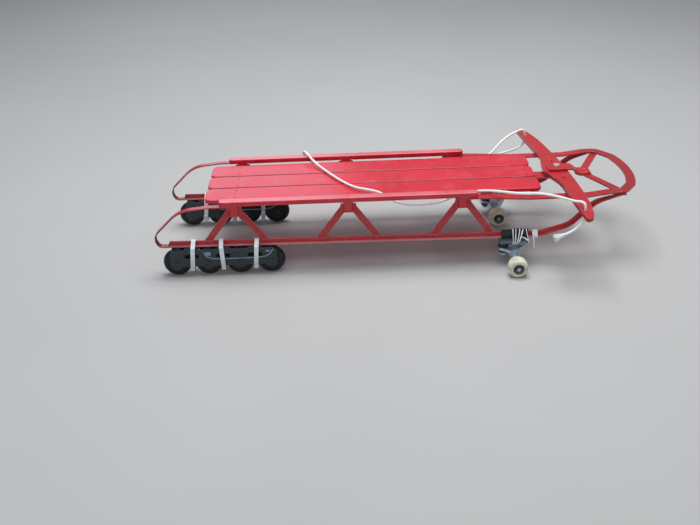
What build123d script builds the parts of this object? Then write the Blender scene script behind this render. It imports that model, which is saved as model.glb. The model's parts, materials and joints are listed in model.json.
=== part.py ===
from build123d import *
import os
from math import atan2, cos, degrees, pi, radians, sin

# A steerable wooden-decked sled with steel runners, fitted with wheels.
# Each runner stands on an inline skate frame at the rear and on a skateboard truck at the front.
# Millimetres. X points forward, Y to the left, Z up. The origin is on the ground under the middle.

os.makedirs("parts", exist_ok=True)

# Heights
runner_rear_z = 80.0          # underside of the flange where the web begins, over the skates
runner_front_z = 69.7         # and where the upturn begins, in front of the trucks
bench_top_z = 180.0           # the deck slats lie on the benches here
slat_thick = 9.0
rail_thick = 12.0
rail_lift = 7.0               # packing between bench and side rail

# Deck
slat_rear_x = -491.0
slat_front_x = 363.0
slat_width = 72.6
slat_gap = 3.0
slat_corner = 16.0
slat_edge = 2.5
rail_rear_x = -450.0
rail_front_x = 196.0
rail_width = 23.0
rail_corner = 8.0
rail_edge = 2.5

# Cleat under the slats' front ends
cleat_x = 345.0
cleat_width = 20.0
cleat_thick = 4.0
cleat_inset = 6.0

# Benches and knees
bench_stations = {"rear": -414.0, "middle": -128.0, "front": 159.0}
bench_width = 24.0
bench_depth = 22.0
bench_half_length = 146.0
bench_end_round = 7.0
rail_mid_y = bench_half_length - 7.0
knee_thick = 4.0
knee_leg_width = 17.0
knee_spread = 75.0            # from the station to the middle of each foot
knee_top_spread = 16.0
knee_foot_length = 28.0
knee_foot_height = 10.0
knee_crown_half = 20.0
knee_crown_drop = 3.0         # crown below the bench's underside
knee_rib_width = 6.5
knee_rib_height = 1.8

# Runners
runner_y = bench_half_length - 2.0
flange_width = 15.0
flange_thick = 3.0
web_thick = 3.0
web_height = 12.0
web_rear_x = -590.0
web_rear_slant = 6.0
loop_end_x = -404.0           # the loop's end lies on the rear bench's packing
loop_bend_x = -478.0
loop_shoulder = (-552.0, 178.0)
loop_rear = (-624.3, 108.0)
loop_foot_x = -609.5
upturn_x = 355.0
upturn_low = (432.0, 95.0)
upturn_high = (494.0, 158.0)
upturn_top_x = 556.0
runner_front_x = 566.0
upturn_web_low = 10.5         # the web tapers along the upturn
upturn_web_high = 8.0
web_front_x = 548.0
upturn_round = 60.0

# Front bumper
bumper_outer_y = bench_half_length + 2.0
bumper_width = 24.0
bumper_thick = 4.0
bumper_front_x = 620.0
bumper_rear_x = 140.0
bumper_corner_x = 568.0
bumper_shoulder = (604.0, 100.0)
bumper_round = 34.0
bumper_dip = 7.0              # the arms pass this much lower under the steering bar
bumper_dip_from = 210.0
bumper_dip_to = 330.0
bumper_rise_from = 474.0
bumper_rise_to = 530.0
bumper_bend = 60.0
brace_behind = 74.0           # the brace's apex behind the bumper's corner
brace_inset = 21.5            # its ends inside the bumper's outer edge
brace_end_behind = 10.0
brace_width = 19.0

# Steering
pivot_x = 424.0
steer_angle = 4.8             # the bar stands turned a little to the left
bar_top_z = 192.0
bar_depth = 10.0
bar_sheet = 2.0
bar_half_length = 306.0
bar_nose_w = 25.0             # front edge ahead of the pivot line, in the middle
bar_side_w = 20.0             # and half way out
bar_neck_w = 3.0              # and where the tip begins
bar_tip_w = -4.0
bar_tip_width = 19.0
bar_tip_depth = 9.0           # the tip's front corner stands back this much
bar_arm_w = -21.0             # rear edge along the arms
bar_waist_w = -16.0
bar_lug_w = -34.5             # the lug in the middle of the rear edge
bar_lug_u = 36.0
rivet_u = 57.0
rivet_r = 6.0
rope_hole_u = bar_half_length - 50.0
rope_hole_w = -11.5
rope_hole_r = 4.8
bolt_r = 5.0
nut_r = 9.0
nut_height = 7.0
bolt_head_height = 6.0
bolt_washer_r = 11.0
bolt_clearance = 0.06
tongue_width = 40.0
tongue_thick = 4.0
tongue_behind = 24.0          # the upper tongue behind the pivot
tongue_ahead = 38.0           # and how far it stays level in front of it
tongue_lap_rear = 14.0        # where it has come down on the brace
tongue_lap_front = 18.0
tongue_bend = 8.0
lower_tongue_rear_x = 262.0
lower_tongue_bend_x = 318.0
lower_tongue_ahead = 22.0
washer_thick = 1.3
face_clearance = 0.2

# Rear skates
inline_wheel_r = 36.0
inline_wheel_width = 24.0
inline_pitch = 80.2
inline_first_x = -570.5
hub_r = 17.0
axle_r = 4.0
wheel_clearance = 0.05
frame_gap = 28.0              # between the two side walls of a skate frame
frame_wall = 2.5
frame_low_z = 20.0
frame_high_z = 75.5
frame_overhang = 15.0         # side wall past the end axles
frame_corner = 13.0
frame_boss_r = 15.0
frame_window_z = 57.0
frame_window_length = 38.0
frame_window_height = 11.0
frame_rib = 2.0
pad_length = 34.0
pad_thick = 7.0
bolt_head = 3.0
bolt_head_r = 6.5

# Front trucks
truck_x = 290.0
truck_wheel_r = 24.5
truck_wheel_width = 31.0
truck_wheel_y = 78.0          # from the truck's middle to the middle of a wheel
truck_plate_thick = 6.0
truck_plate_length = 74.0
truck_plate_width = 54.0
kingpin_back = 24.0           # kingpin behind the axle
kingpin_r = 4.7
nose_ahead = 22.0             # pivot nose ahead of the axle
nose_r = 6.5
boss_r = 14.0
boss_height = 8.0
washer_r = 12.5
upper_cushion_height = 12.0
lower_cushion_height = 6.5
hanger_ring_height = 7.5
hanger_ring_r = 13.0
kingpin_nut_height = 6.0
packing_inset = 6.0
packing_thick = 3.5
packing_crown = 4.5
wheel_recess_r = 11.0
wheel_recess_depth = 5.0
axle_nut_r = 7.0

# Straps and wire
strap_width = 11.0
strap_thick = 1.2
strap_slack = 1.0             # the strap stands off the sides and pulls on the edges
strap_low_xs = [-531.2, -451.0, -369.2]
strap_high_xs = [-523.5, -453.5, -363.0]
tie_x = 344.0
tie_width = 14.0
wire_r = 1.5
wire_low_xs = [truck_x - 6.0, truck_x - 2.2, truck_x + 1.6, truck_x + 5.4, truck_x + 35.0]
wire_high_xs = [truck_x - 3.0, truck_x + 5.0, truck_x + 15.0, truck_x + 23.0, truck_x + 31.0]

# Rope
rope_r = 3.5

side_signs = {"left": 1, "right": -1}


def save(shape, node):
    export_step(shape, f"parts/{node}.step")


def box(x0, x1, y0, y1, z0, z1):
    middle = ((x0 + x1) / 2, (y0 + y1) / 2, (z0 + z1) / 2)
    return Pos(*middle) * Box(x1 - x0, y1 - y0, z1 - z0)


def rod_y(x, z, radius, y0, y1):
    return Pos(x, (y0 + y1) / 2, z) * Rot(90, 0, 0) * Cylinder(radius, y1 - y0)


def ring_y(x, z, outer, inner, y0, y1):
    return rod_y(x, z, outer, y0, y1) - rod_y(x, z, inner, y0 - 1, y1 + 1)


def slab_xz(sketch, y0, y1):
    # a sketch drawn with X along and Y up, stood on edge between y0 and y1
    return Pos(0, y1, 0) * Rot(90, 0, 0) * extrude(sketch, y1 - y0)


def strip_xz(points, radius, thick, y0, y1):
    path = FilletPolyline(*points, radius=radius)
    return slab_xz(trace(path, line_width=thick), y0, y1)


def rounded_plank(x0, x1, y_mid, width, z0, z1, corner, edge):
    outline = Pos((x0 + x1) / 2, y_mid) * RectangleRounded(x1 - x0, width, corner)
    plank = Pos(0, 0, z0) * extrude(outline, z1 - z0)
    return fillet(plank.faces().sort_by(Axis.Z)[-1].edges(), edge)


def runner_low(x):
    # the runner's underside drops a little from the skates to the trucks
    share = (x - web_rear_x) / (upturn_x - web_rear_x)
    return runner_rear_z + share * (runner_front_z - runner_rear_z)


# Deck slats and side rails
slat_top_z = bench_top_z + slat_thick
for name, step in {"left": 1, "middle": 0, "right": -1}.items():
    slat = rounded_plank(
        slat_rear_x, slat_front_x, step * (slat_width + slat_gap), slat_width,
        bench_top_z, slat_top_z, slat_corner, slat_edge,
    )
    save(slat, f"slat_{name}")

rail_base_z = bench_top_z + rail_lift
for side, sign in side_signs.items():
    rail = rounded_plank(
        rail_rear_x, rail_front_x, sign * rail_mid_y, rail_width,
        rail_base_z, rail_base_z + rail_thick, rail_corner, rail_edge,
    )
    save(rail, f"rail_{side}")

# Benches, with rounded ends, and the blocks that lift the rails off them
bench_low_z = bench_top_z - bench_depth
benches = []
blocks = []
for name, x in bench_stations.items():
    bench = box(
        x - bench_width / 2, x + bench_width / 2, -bench_half_length, bench_half_length,
        bench_low_z, bench_top_z,
    )
    ends = bench.faces().filter_by(Axis.Y)
    bench = fillet([e for f in ends for e in f.edges().filter_by(Axis.Z)], bench_end_round)
    benches.append(bench)
    lift_from = bench_top_z + (bumper_thick if name == "front" else 0)
    lift_to = rail_base_z - (flange_thick if name == "rear" else 0)
    for sign in side_signs.values():
        blocks.append(box(
            x - bench_width / 2, x + bench_width / 2,
            sign * rail_mid_y - rail_width / 2 + 2, sign * rail_mid_y + rail_width / 2 - 2,
            lift_from, lift_to,
        ))
save(Compound(children=benches), "benches")
save(Compound(children=blocks), "rail_blocks")


# Knees: pressed steel legs that straddle the bench and stand on the runner's flange
def knee_legs(x):
    legs = []
    for way in (-1, 1):
        foot_x = x + way * knee_spread
        foot_z = runner_low(foot_x) + flange_thick + knee_foot_height / 2
        legs.append(((x + way * knee_top_spread, bench_low_z + knee_top_spread / 3), (foot_x, foot_z)))
    return legs


def knee_sketch(x):
    crown_low = bench_low_z - knee_crown_drop
    shape = Pos(x, (crown_low + bench_top_z) / 2) * RectangleRounded(
        2 * knee_crown_half, bench_top_z - crown_low, knee_foot_height / 2.5)
    for top, foot in knee_legs(x):
        shape += trace(Line(top, foot), line_width=knee_leg_width)
        shape += Pos(*top) * Circle(knee_leg_width / 2)
        shape += Pos(*foot) * RectangleRounded(knee_foot_length, knee_foot_height, knee_foot_height / 2.5)
    shape -= Pos(x, bench_low_z + bench_depth) * Rectangle(bench_width, 2 * bench_depth)
    shape -= Pos(x, bench_top_z + bench_depth) * Rectangle(8 * knee_spread, 2 * bench_depth)
    reach = 2 * knee_spread
    return shape - make_face(Polyline(
        (x - reach, runner_low(x - reach) + flange_thick), (x - reach, 0),
        (x + reach, 0), (x + reach, runner_low(x + reach) + flange_thick), close=True))


def rib_sketch(x, width):
    shape = None
    for top, foot in knee_legs(x):
        run = Line(top, foot)
        for share in (0.14, 0.70):
            end = Pos(*(run @ share)) * Circle(width / 2)
            shape = end if shape is None else shape + end
        shape += trace(Line(run @ 0.14, run @ 0.70), line_width=width)
    return shape


for side, sign in side_signs.items():
    inner = runner_y - web_thick / 2 - knee_thick
    outer = runner_y - web_thick / 2
    y0, y1 = sorted((sign * inner, sign * outer))
    rib_y0, rib_y1 = sorted((sign * (outer - knee_thick / 2), sign * (outer + knee_rib_height)))
    dent_y0, dent_y1 = sorted((sign * (inner - 1), sign * (inner + knee_rib_height)))
    for name, x in bench_stations.items():
        knee = slab_xz(knee_sketch(x), y0, y1)
        knee += slab_xz(rib_sketch(x, knee_rib_width), rib_y0, rib_y1)
        knee -= slab_xz(rib_sketch(x, knee_rib_width - 3), dent_y0, dent_y1)
        save(knee, f"knee_{name}_{side}")

# Runners: a flange that curls up at both ends, with a web standing on it
def flange_mid(x):
    return runner_low(x) + flange_thick / 2


upturn_top_z = bench_top_z - flange_thick / 2
flange_path = [
    (loop_end_x, rail_base_z - flange_thick / 2), (loop_bend_x, rail_base_z - flange_thick / 2),
    loop_shoulder, loop_rear, (loop_foot_x, flange_mid(loop_foot_x)),
    (upturn_x, flange_mid(upturn_x)), upturn_low, upturn_high,
    (upturn_top_x, upturn_top_z), (runner_front_x, upturn_top_z),
]
flange_radii = [120, 90, 26, 14, upturn_round, 80, 80, 30]


def web_sketch():
    web_top = flange_thick + web_height
    outline = Polyline(
        (web_rear_x, flange_mid(web_rear_x)), (upturn_x, flange_mid(upturn_x)), upturn_low, upturn_high,
        (web_front_x, upturn_top_z - flange_thick / 2),
        (web_front_x - 3 * upturn_web_high, upturn_top_z - flange_thick / 2 - upturn_web_high / 3),
        (upturn_high[0] - upturn_web_high, upturn_high[1] + upturn_web_high * 0.9),
        (upturn_low[0] - upturn_web_low / 2, upturn_low[1] + upturn_web_low),
        (upturn_x - flange_thick, runner_low(upturn_x) + web_top),
        (web_rear_x + web_rear_slant, runner_low(web_rear_x) + web_top), close=True,
    )
    return make_face(outline)


def web_shape():
    face = web_sketch()
    bends = [v for v in face.vertices() if upturn_x - 10 < v.X < upturn_high[0] + 5]
    return fillet(bends, upturn_round)


for side, sign in side_signs.items():
    mid = sign * runner_y
    line = FilletPolyline(*flange_path, radius=flange_radii)
    flange = slab_xz(trace(line, line_width=flange_thick), mid - flange_width / 2, mid + flange_width / 2)
    web = slab_xz(web_shape(), mid - web_thick / 2, mid + web_thick / 2)
    save(flange + web, f"runner_{side}")

# Front bumper: one flat strip bent round the front, its arms running back under the rails
corner_a = (bumper_corner_x, bumper_outer_y)
corner_b = bumper_shoulder
arm_rear_x = bumper_rear_x - 2 * bumper_width
bumper_outline = make_face([
    Line((arm_rear_x, -bumper_outer_y), (corner_a[0], -corner_a[1])),
    Line((corner_a[0], -corner_a[1]), (corner_b[0], -corner_b[1])),
    ThreePointArc((corner_b[0], -corner_b[1]), (bumper_front_x, 0), corner_b),
    Line(corner_b, corner_a),
    Line(corner_a, (arm_rear_x, bumper_outer_y)),
    Line((arm_rear_x, bumper_outer_y), (arm_rear_x, -bumper_outer_y)),
])
bumper_outline = fillet([v for v in bumper_outline.vertices() if v.X > bumper_rear_x], bumper_round)
bumper_plan = bumper_outline - offset(bumper_outline, -bumper_width)
bumper_plan -= Pos(bumper_rear_x - 4 * bumper_width, 0) * Rectangle(8 * bumper_width, 3 * bumper_outer_y)
bumper_mid_z = bench_top_z + bumper_thick / 2
bumper_profile = [
    (bumper_rear_x - bumper_width, bumper_mid_z), (bumper_dip_from, bumper_mid_z),
    (bumper_dip_to, bumper_mid_z - bumper_dip), (bumper_rise_from, bumper_mid_z - bumper_dip),
    (bumper_rise_to, bumper_mid_z), (bumper_front_x + bumper_width, bumper_mid_z),
]
band_reach = bumper_outer_y + bumper_width
bumper_band = strip_xz(bumper_profile, bumper_bend, bumper_thick, -band_reach, band_reach)
bumper = extrude(bumper_plan, 2 * bench_top_z) & bumper_band
save(bumper, "bumper")

# Brace behind the bumper: two straps from the middle out to the bumper's arms
brace_apex_x = bumper_corner_x - brace_behind
brace_end = (bumper_corner_x - brace_end_behind, bumper_outer_y - brace_inset)
brace_plan = Pos(brace_apex_x, 0) * Circle(tongue_width / 2)
for way in (-1, 1):
    end = (brace_end[0], way * brace_end[1])
    brace_plan += trace(Line((brace_apex_x, way * 4), end), line_width=brace_width)
    brace_plan += Pos(*end) * Circle(brace_width / 2)
brace = Pos(0, 0, bench_top_z - bumper_thick) * extrude(brace_plan, bumper_thick)
save(brace, "front_brace")

# Upper and lower tongues, which hold the pivot bolt above and below the steering bar
upper_mid_z = bar_top_z + face_clearance + washer_thick + tongue_thick / 2
upper_line = [
    (pivot_x - tongue_behind, upper_mid_z), (pivot_x + tongue_ahead, upper_mid_z),
    (brace_apex_x - tongue_lap_rear, bench_top_z + tongue_thick / 2),
    (brace_apex_x + tongue_lap_front, bench_top_z + tongue_thick / 2),
]
upper = strip_xz(upper_line, tongue_bend, tongue_thick, -tongue_width / 2, tongue_width / 2)
upper -= Pos(pivot_x, 0, upper_mid_z) * Cylinder(bolt_r, 5 * tongue_thick)
save(upper, "tongue_upper")

deck_half = 1.5 * slat_width + slat_gap
cleat = box(
    cleat_x - cleat_width / 2, cleat_x + cleat_width / 2, -deck_half + cleat_inset, deck_half - cleat_inset,
    bench_top_z - cleat_thick, bench_top_z,
)
save(cleat, "front_cleat")
lower_mid_z = bench_top_z - cleat_thick - tongue_thick / 2
lower_line = [
    (lower_tongue_rear_x, bench_top_z - tongue_thick / 2),
    (lower_tongue_bend_x, bench_top_z - tongue_thick / 2),
    (cleat_x - 0.65 * cleat_width, lower_mid_z), (pivot_x + lower_tongue_ahead, lower_mid_z),
]
lower = strip_xz(lower_line, tongue_bend, tongue_thick, -tongue_width / 2, tongue_width / 2)
lower -= Pos(pivot_x, 0, lower_mid_z) * Cylinder(bolt_r, 5 * tongue_thick)
save(lower, "tongue_lower")

# Pivot bolt with its nut, sleeve and washer
lower_top_z = lower_mid_z + tongue_thick / 2
sleeve_top_z = bar_top_z - bar_sheet - face_clearance
upper_top_z = upper_mid_z + tongue_thick / 2


def disc(radius, z0, z1, x=pivot_x, y=0.0):
    return Pos(x, y, (z0 + z1) / 2) * Cylinder(radius, z1 - z0)


def hexagon(radius, z0, z1, x=pivot_x, y=0.0):
    return Pos(x, y, z0) * extrude(RegularPolygon(radius, 6), z1 - z0)


nut_low_z = lower_mid_z - tongue_thick / 2 - nut_height
bolt = disc(bolt_r, nut_low_z - 4, upper_top_z + 1)
bolt += hexagon(nut_r, nut_low_z, nut_low_z + nut_height)
bolt += hexagon(nut_r, upper_top_z, upper_top_z + bolt_head_height)
bolt += disc(nut_r, lower_top_z, sleeve_top_z)
bolt += disc(bolt_washer_r, bar_top_z + face_clearance, upper_mid_z - tongue_thick / 2)
save(bolt, "pivot_bolt")


# Steering bar: a pressed channel, gull-shaped in plan, with a lug at the pivot
def corner_radii(points, share):
    # each corner's arc takes the same share of the shorter run beside it
    radii = []
    for a, b, c in zip(points, points[1:], points[2:]):
        before = Vector(*b) - Vector(*a)
        after = Vector(*c) - Vector(*b)
        half_turn = radians(before.get_angle(after)) / 2
        radii.append(share * min(before.length, after.length) * cos(half_turn) / sin(half_turn))
    return radii


def bar_outline():
    half = bar_half_length
    left = [
        (bar_nose_w, 0.18 * half), (bar_side_w, 0.50 * half), (bar_side_w * 0.7, 0.72 * half),
        (bar_neck_w, 0.90 * half), (bar_tip_w, half - bar_tip_depth), (bar_tip_w - bar_tip_width, half),
        (bar_arm_w, 0.65 * half), (bar_waist_w, 0.29 * half), (bar_lug_w + 4.5, bar_lug_u),
    ]
    right = [(w, -u) for w, u in reversed(left)]
    points = left + [(bar_lug_w, 0)] + right
    around = [(w, u, 0) for w, u in [points[-1]] + points + [points[0]]]
    return make_face(FilletPolyline(*points, radius=corner_radii(around, 0.45), close=True))


def on_bar(shape):
    return Pos(pivot_x, 0, 0) * Rot(0, 0, steer_angle) * shape


bar_low_z = bar_top_z - bar_depth
outline = bar_outline()
bar = Pos(0, 0, bar_low_z) * extrude(outline, bar_depth)
bar -= Pos(0, 0, bar_low_z) * extrude(offset(outline, -bar_sheet), bar_depth - bar_sheet)
bar -= Pos(0, 0, bar_top_z) * Cylinder(bolt_r + bolt_clearance, 20)
for way in (-1, 1):
    bar -= Pos(rope_hole_w, way * rope_hole_u, bar_top_z) * Cylinder(rope_hole_r, 20)
save(on_bar(bar), "steering_bar")

rivets = []
for way in (-1, 1):
    head = Pos(bar_sheet, way * rivet_u, 0) * disc(rivet_r, bar_top_z, bar_top_z + rivet_r * 0.4, 0, 0)
    rivets.append(on_bar(fillet(head.edges().sort_by(Axis.Z)[-1], rivet_r * 0.3)))
save(Compound(children=rivets), "bar_rivets")

# Rear skates: two pierced walls joined by pads between the wheels, which carry the runner
axle_xs = [inline_first_x + n * inline_pitch for n in range(4)]
pad_xs = [x + inline_pitch / 2 for x in axle_xs[:3]]
inline_axle_z = inline_wheel_r
wall_x0 = axle_xs[0] - frame_overhang
wall_x1 = axle_xs[-1] + frame_overhang
wall_out = frame_gap / 2 + frame_wall


def skate_wall():
    # bosses round the axles, tied by a waist below and a deep band above
    waist_z = inline_axle_z - frame_overhang / 2
    wall = Pos((wall_x0 + wall_x1) / 2, (waist_z + frame_high_z) / 2) * RectangleRounded(
        wall_x1 - wall_x0, frame_high_z - waist_z, frame_corner)
    for x in axle_xs:
        wall += Pos(x, frame_low_z + frame_boss_r) * Circle(frame_boss_r)
    for x in pad_xs:
        wall -= Pos(x, frame_window_z) * SlotOverall(frame_window_length, frame_window_height)
    return wall


for side, sign in side_signs.items():
    mid = sign * runner_y
    skate = None
    for way in (-1, 1):
        y0, y1 = sorted((mid + way * frame_gap / 2, mid + way * wall_out))
        plate = slab_xz(skate_wall(), y0, y1)
        skate = plate if skate is None else skate + plate
        y0, y1 = sorted((mid + way * wall_out, mid + way * (wall_out + frame_rib)))
        skate += box(wall_x0 + frame_corner, wall_x1 - frame_corner, y0, y1,
                     frame_high_z - 3 * frame_rib, frame_high_z - frame_rib)
        y0, y1 = sorted((mid + way * wall_out, mid + way * (wall_out + bolt_head)))
        for x in axle_xs:
            skate += rod_y(x, inline_axle_z, bolt_head_r, y0, y1)
    for x in pad_xs:
        pad_top = runner_low(x + pad_length / 2)
        skate += box(x - pad_length / 2, x + pad_length / 2, mid - wall_out, mid + wall_out,
                     pad_top - pad_thick, pad_top)
    for x in axle_xs:
        skate += rod_y(x, inline_axle_z, axle_r, mid - wall_out, mid + wall_out)
    save(skate, f"skate_frame_{side}")


# Inline wheels: a soft tyre of bullet section on a hub with sunk bearings
def tyre(x, y):
    half = inline_wheel_width / 2
    section = make_face([
        Line((hub_r, -half), (25, -half)),
        ThreePointArc((25, -half), (inline_wheel_r, 0), (25, half)),
        Line((25, half), (hub_r, half)),
        Line((hub_r, half), (hub_r, -half)),
    ])
    ring = revolve(Plane.XY * section, Axis.Y)
    return Pos(x, y, inline_axle_z) * ring


def hub(x, y):
    half = inline_wheel_width / 2
    bore = axle_r + wheel_clearance
    core = rod_y(0, 0, hub_r, -half, half) - rod_y(0, 0, bore, -half - 1, half + 1)
    for way in (-1, 1):
        y0, y1 = sorted((way * half, way * (half - 2.5)))
        core -= ring_y(0, 0, 14, 10.5, y0, y1)
    return Pos(x, y, inline_axle_z) * core


for side, sign in side_signs.items():
    for n, x in enumerate(axle_xs, start=1):
        save(tyre(x, sign * runner_y), f"inline_tyre_{side}_{n}")
        save(hub(x, sign * runner_y), f"inline_hub_{side}_{n}")

# Front trucks: a plate with its kingpin and pivot cup, and a hanger that carries the axle
plate_top_z = runner_low(truck_x + truck_plate_length / 2)
plate_low_z = plate_top_z - truck_plate_thick
truck_axle_z = truck_wheel_r
kingpin_x = truck_x - kingpin_back
nose_x = truck_x + nose_ahead
boss_low_z = plate_low_z - boss_height
upper_washer_z = boss_low_z - washer_thick
ring_top_z = upper_washer_z - upper_cushion_height
ring_low_z = ring_top_z - hanger_ring_height
lower_washer_z = ring_low_z - lower_cushion_height
kingpin_nut_z = lower_washer_z - washer_thick - kingpin_nut_height
cup_depth = boss_height * 0.6
housing_half = truck_wheel_y - truck_wheel_width / 2 - 3
wheel_half = truck_wheel_width / 2


def truck_base(mid):
    plan = Pos(truck_x, mid) * RectangleRounded(truck_plate_length, truck_plate_width, boss_height)
    base = Pos(0, 0, plate_low_z) * extrude(plan, truck_plate_thick)
    base = fillet(base.faces().sort_by(Axis.Z)[0].edges(), truck_plate_thick / 3)
    base += disc(boss_r, boss_low_z, plate_top_z - 1, kingpin_x, mid)
    base += disc(nose_r + 4, plate_low_z - cup_depth, plate_top_z - 1, nose_x, mid)
    base += disc(kingpin_r, kingpin_nut_z - 2, plate_top_z - 1, kingpin_x, mid)
    base += disc(washer_r, upper_washer_z, boss_low_z, kingpin_x, mid)
    base += disc(washer_r - 2, lower_washer_z - washer_thick, lower_washer_z, kingpin_x, mid)
    return base + hexagon(kingpin_r * 1.9, kingpin_nut_z, kingpin_nut_z + kingpin_nut_height, kingpin_x, mid)


def truck_hanger(mid):
    low_z = truck_axle_z - 6
    side = make_face(Polyline(
        (kingpin_x - 2, ring_low_z), (kingpin_x + 12, ring_low_z), (truck_x - 7, low_z), (truck_x + 8, low_z),
        (nose_x + nose_r + 2, ring_top_z - 1), (nose_x + nose_r + 2, ring_top_z + 6),
        (nose_x - nose_r, ring_top_z + 6), (kingpin_x + hanger_ring_r + 1, ring_top_z),
        (kingpin_x - 2, ring_top_z), close=True))
    plan = make_face(Polyline(
        (kingpin_x - 2, mid - 12), (truck_x - 9, mid - 27), (truck_x + 9, mid - 27), (nose_x + 9, mid - nose_r),
        (nose_x + 9, mid + nose_r), (truck_x + 9, mid + 27), (truck_x - 9, mid + 27), (kingpin_x - 2, mid + 12),
        close=True))
    hanger = slab_xz(side, mid - 40, mid + 40) & extrude(plan, plate_low_z)
    hanger += disc(hanger_ring_r, ring_low_z, ring_top_z, kingpin_x, mid)
    hanger += disc(nose_r, ring_top_z + 2, plate_low_z - cup_depth - face_clearance, nose_x, mid)
    for way in (-1, 1):
        taper = Pos(truck_x, mid + way * housing_half / 2, truck_axle_z) * Rot(-90 * way, 0, 0) * Cone(
            10, 7.5, housing_half)
        hanger += taper
        y0, y1 = sorted((mid + way * (truck_wheel_y + wheel_half - wheel_recess_depth + 0.5),
                         mid + way * (truck_wheel_y + wheel_half + 0.5)))
        hanger += rod_y(truck_x, truck_axle_z, axle_nut_r, y0, y1)
    reach = truck_wheel_y + wheel_half + 2
    hanger += rod_y(truck_x, truck_axle_z, axle_r, mid - reach, mid + reach)
    return hanger - disc(kingpin_r + 1.3, ring_low_z - 20, ring_top_z + 20, kingpin_x, mid)


def truck_packing(mid):
    # rubber laid over the runner under the wire, open below where the plate closes it
    x0 = truck_x - truck_plate_length / 2 + packing_inset
    x1 = truck_x + truck_plate_length / 2
    top_z = runner_low(x0) + flange_thick + web_height + packing_thick
    half = flange_width / 2 + packing_thick
    outline = make_face(Polyline(
        (mid - half, plate_top_z + face_clearance), (mid + half, plate_top_z + face_clearance),
        (mid + half, top_z - 9), (mid + packing_crown, top_z), (mid - packing_crown, top_z),
        (mid - half, top_z - 9), close=True))
    solid = Pos(x0, 0, 0) * extrude(Plane.YZ * outline, x1 - x0)
    spare = 0.3
    solid -= box(x0 - 1, x1 + 1, mid - flange_width / 2 - spare, mid + flange_width / 2 + spare,
                 0, runner_low(x0) + flange_thick + spare)
    solid -= box(x0 - 1, x1 + 1, mid - web_thick / 2 - spare, mid + web_thick / 2 + spare,
                 0, runner_low(x0) + flange_thick + web_height + spare)
    return solid


for side, sign in side_signs.items():
    mid = sign * runner_y
    save(truck_base(mid), f"truck_base_{side}")
    save(truck_hanger(mid), f"truck_hanger_{side}")
    upper_cushion = disc(washer_r + 0.5, ring_top_z, upper_washer_z, kingpin_x, mid)
    lower_cushion = disc(washer_r - 1.5, lower_washer_z, ring_low_z, kingpin_x, mid)
    bore = disc(kingpin_r, lower_washer_z - 1, upper_washer_z + 1, kingpin_x, mid)
    save(Compound(children=[upper_cushion - bore, lower_cushion - bore, truck_packing(mid)]),
         f"truck_cushions_{side}")


def truck_wheel(y):
    solid = rod_y(0, 0, truck_wheel_r, -wheel_half, wheel_half)
    solid = fillet(solid.edges().filter_by(GeomType.CIRCLE), 7)
    for way in (-1, 1):
        y0, y1 = sorted((way * wheel_half, way * (wheel_half - wheel_recess_depth)))
        solid -= rod_y(0, 0, wheel_recess_r, y0, y1)
    solid -= rod_y(0, 0, axle_r + wheel_clearance, -wheel_half - 1, wheel_half + 1)
    return Pos(truck_x, y, truck_axle_z) * solid


for side, sign in side_signs.items():
    for place, way in {"outer": 1, "inner": -1}.items():
        save(truck_wheel(sign * (runner_y + way * truck_wheel_y)), f"truck_wheel_{place}_{side}")

# Straps that tie each skate to its runner, and the wire that ties each truck
def loop_yz(x, width, points, thick, radius):
    line = FilletPolyline(*points, radius=radius, close=True)
    band = Plane.YZ * trace(line, line_width=thick)
    return Pos(x - width / 2, 0, 0) * extrude(band, width)


def leaning_band(x_low, x_high, width, points, thick, radius):
    # a band round a loop whose top stands ahead of its foot
    z_low = min(z for y, z in points)
    rise = max(z for y, z in points) - z_low
    lean = atan2(x_high - x_low, rise)
    stretched = [(y, (z - z_low) / cos(lean)) for y, z in points]
    band = loop_yz(0, width, stretched, thick, radius)
    return Pos(x_low, 0, z_low) * Rot(0, degrees(lean), 0) * band


def web_top(x):
    return runner_low(x) + flange_thick + web_height


for side, sign in side_signs.items():
    mid = sign * runner_y
    out = wall_out + frame_rib + strap_thick / 2 + strap_slack
    low_z = frame_low_z - strap_thick / 2 - strap_slack
    straps = []
    for x_low, x_high in zip(strap_low_xs, strap_high_xs):
        shoulder_z = runner_low(x_high) + 1.5
        top_z = web_top(x_high) + strap_thick / 2 + strap_slack / 2
        points = [
            (mid - 3.5, top_z), (mid + 3.5, top_z), (mid + out, shoulder_z), (mid + out, low_z),
            (mid - out, low_z), (mid - out, shoulder_z),
        ]
        straps.append(leaning_band(x_low, x_high, strap_width, points, strap_thick, 1.0))
    half = flange_width / 2 + strap_thick / 2 + strap_slack
    low_z = runner_low(tie_x) - strap_thick / 2 - strap_slack / 2
    top_z = web_top(tie_x) + strap_thick / 2 + strap_slack / 2
    points = [
        (mid - half, low_z), (mid + half, low_z), (mid + half, low_z + 5),
        (mid + 2.5, top_z), (mid - 2.5, top_z), (mid - half, low_z + 5),
    ]
    straps.append(loop_yz(tie_x, tie_width, points, strap_thick, 1.0))
    save(Compound(children=straps), f"straps_{side}")

    half = truck_plate_width / 2 + wire_r + strap_slack
    top_z = web_top(truck_x - truck_plate_length / 2) + packing_thick + wire_r + strap_slack / 2
    low_z = plate_low_z - 1.5 * wire_r
    wires = []
    for x_low, x_high in zip(wire_low_xs, wire_high_xs):
        points = [
            (mid - 5.5, top_z), (mid + 5.5, top_z), (mid + half, plate_top_z + 2.5), (mid + half, low_z),
            (mid - half, low_z), (mid - half, plate_top_z + 2.5),
        ]
        wires.append(leaning_band(x_low, x_high, 2 * wire_r, points, 2 * wire_r, 2.0))
    save(Compound(children=wires), f"truck_wires_{side}")


# Rope: from the bar's right hole back between rail and slat, over the deck, and along the left side
def bar_point(w, u, z):
    turn = radians(steer_angle)
    return (pivot_x + w * cos(turn) - u * sin(turn), w * sin(turn) + u * cos(turn), z)


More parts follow.
